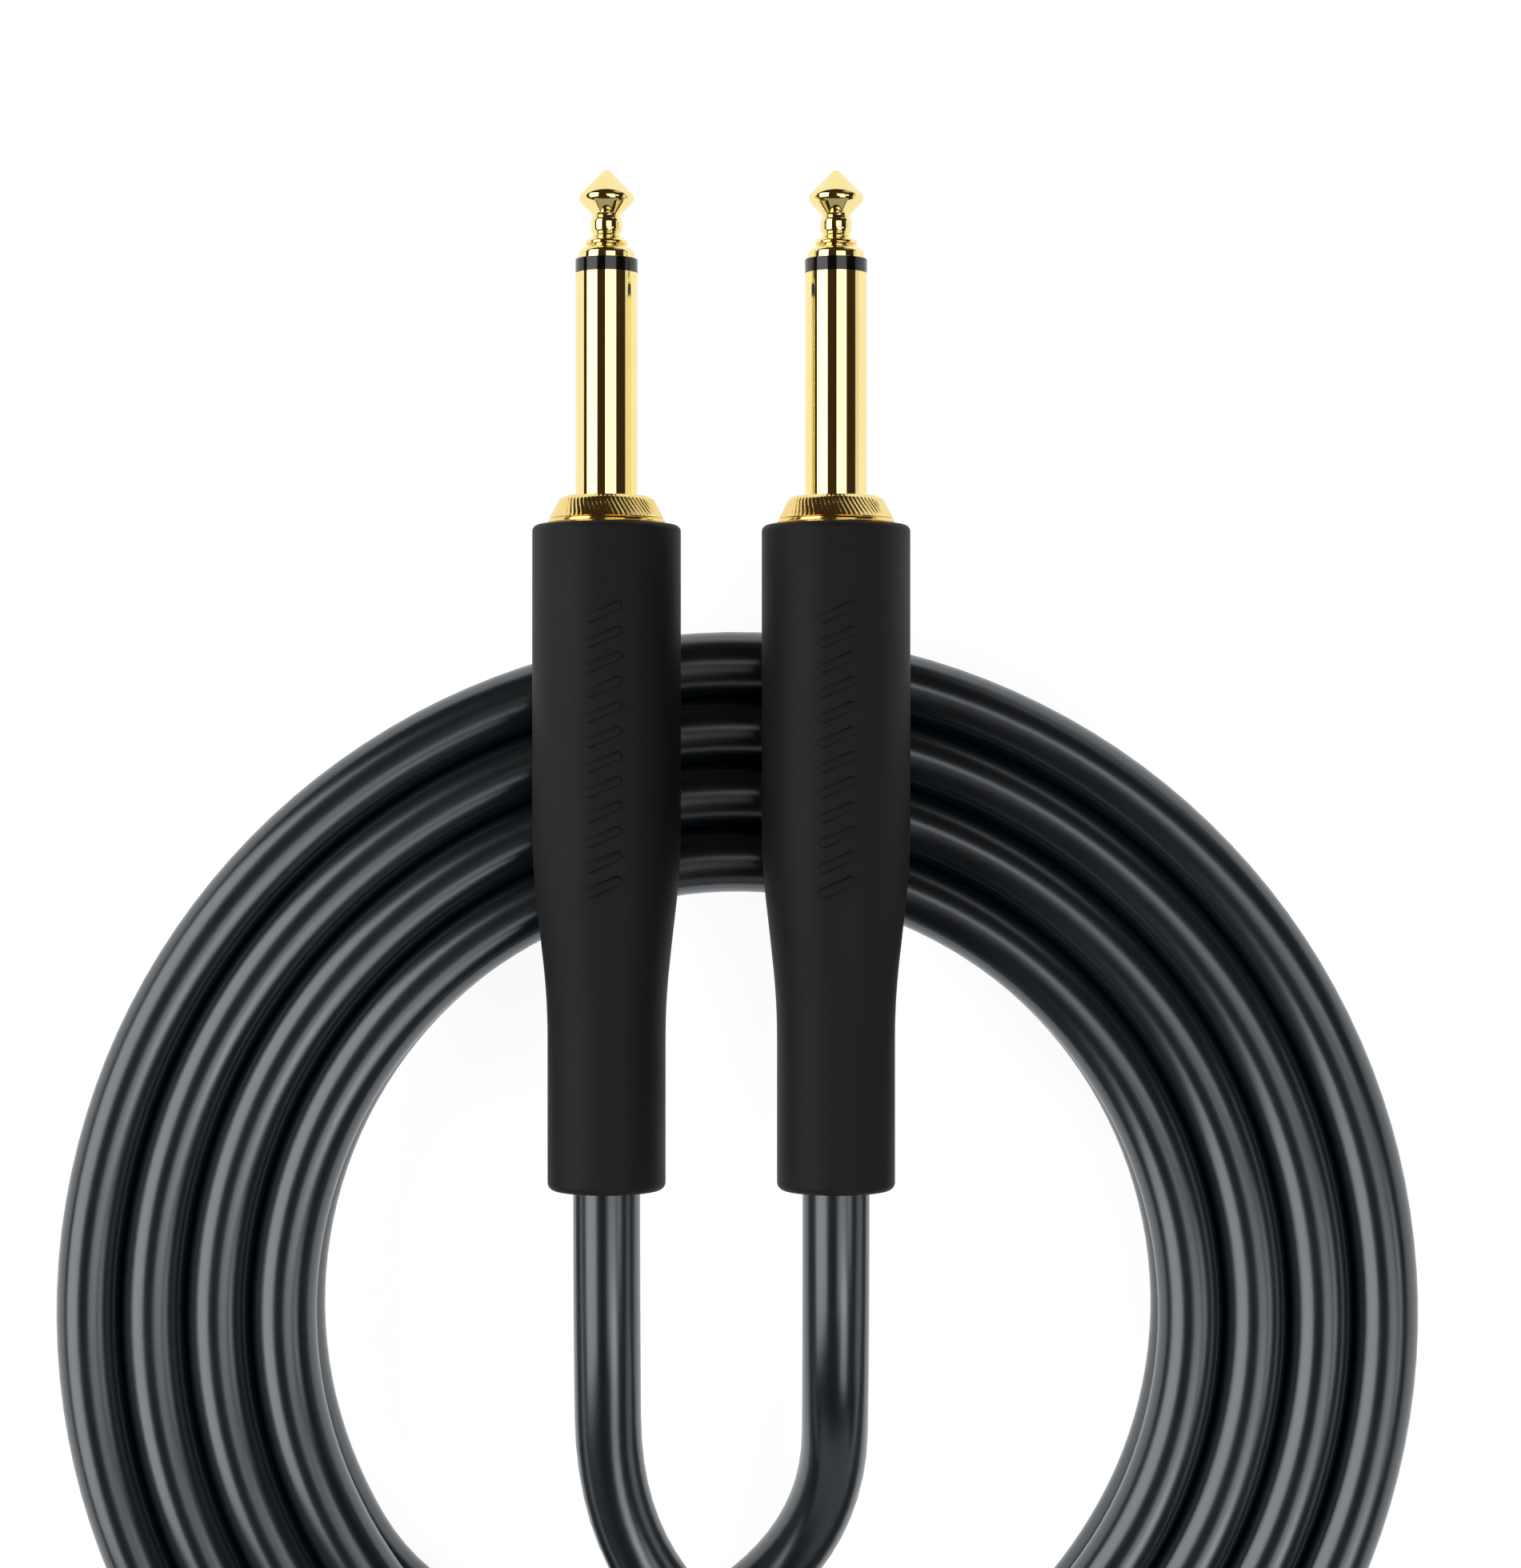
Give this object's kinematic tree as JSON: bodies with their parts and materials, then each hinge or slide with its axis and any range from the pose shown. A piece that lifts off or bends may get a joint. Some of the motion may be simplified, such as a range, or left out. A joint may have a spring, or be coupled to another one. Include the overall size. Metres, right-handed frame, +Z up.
{
  "type": "instrument cable",
  "caption": "Instrument cable wound in a neat round coil, with a straight screw-barrel phone plug on each end lying side by side on it.",
  "frame": {"origin": "centre of the coil, on the surface that the coil lies on", "axes": "+Z up from that surface; +Y along both plugs, from the cable towards their tips; +X across the coil, from plug A to plug B"},
  "size_m": [0.1426, 0.189, 0.029],
  "materials": {
    "cable_jacket": "satin",
    "gold_plate": "polished",
    "grip_black": "matte",
    "black_insulator": "gloss",
    "natural_insulator": "satin",
    "tinned_brass": "satin",
    "bare_brass": "satin",
    "copper": "satin",
    "solder": "satin"
  },
  "bodies": {
    "cable_and_plugs": {"coil": "cable_jacket", "tip_contact_a": "gold_plate", "tip_insulator_a": "black_insulator", "sleeve_contact_a": "gold_plate", "threaded_collar_a": "gold_plate", "rod_insulator_a": "natural_insulator", "rear_insulator_a": "natural_insulator", "tip_lug_a": "tinned_brass", "ground_terminal_a": "tinned_brass", "core_insulation_a": "natural_insulator", "centre_conductor_a": "copper", "shield_pigtail_a": "copper", "tip_solder_a": "solder", "ground_solder_a": "solder", "jacket_end_a": "cable_jacket", "lead_a": "cable_jacket", "tip_contact_b": "gold_plate", "tip_insulator_b": "black_insulator", "sleeve_contact_b": "gold_plate", "threaded_collar_b": "gold_plate", "rod_insulator_b": "natural_insulator", "rear_insulator_b": "natural_insulator", "tip_lug_b": "tinned_brass", "ground_terminal_b": "tinned_brass", "core_insulation_b": "natural_insulator", "centre_conductor_b": "copper", "shield_pigtail_b": "copper", "tip_solder_b": "solder", "ground_solder_b": "solder", "jacket_end_b": "cable_jacket", "lead_b": "cable_jacket"},
    "liner_carriage_a": {"liner_a": "natural_insulator"},
    "handle_a": {"barrel_a": "bare_brass", "grip_a": "grip_black"},
    "liner_carriage_b": {"liner_b": "natural_insulator"},
    "handle_b": {"barrel_b": "bare_brass", "grip_b": "grip_black"}
  },
  "joints": [
    {"name": "handle_a_travel", "type": "slide", "parent": "cable_and_plugs", "child": "liner_carriage_a", "axis": [0, -1, 0], "range_m": [0, 0.006]},
    {"name": "handle_a_turn", "type": "hinge", "parent": "liner_carriage_a", "child": "handle_a", "pos_m": [-0.0132, 0.0845, 0.02145], "axis": [0, -1, 0], "range_deg": [0, 2150]},
    {"name": "handle_b_travel", "type": "slide", "parent": "cable_and_plugs", "child": "liner_carriage_b", "axis": [0, -1, 0], "range_m": [0, 0.006]},
    {"name": "handle_b_turn", "type": "hinge", "parent": "liner_carriage_b", "child": "handle_b", "pos_m": [0.0101, 0.0845, 0.02145], "axis": [0, -1, 0], "range_deg": [0, 2150]}
  ],
  "couplings": [
    {"joint": "handle_a_travel", "follows": "handle_a_turn", "m_per_rad": 0.00015915},
    {"joint": "handle_b_travel", "follows": "handle_b_turn", "m_per_rad": 0.00015915}
  ]
}
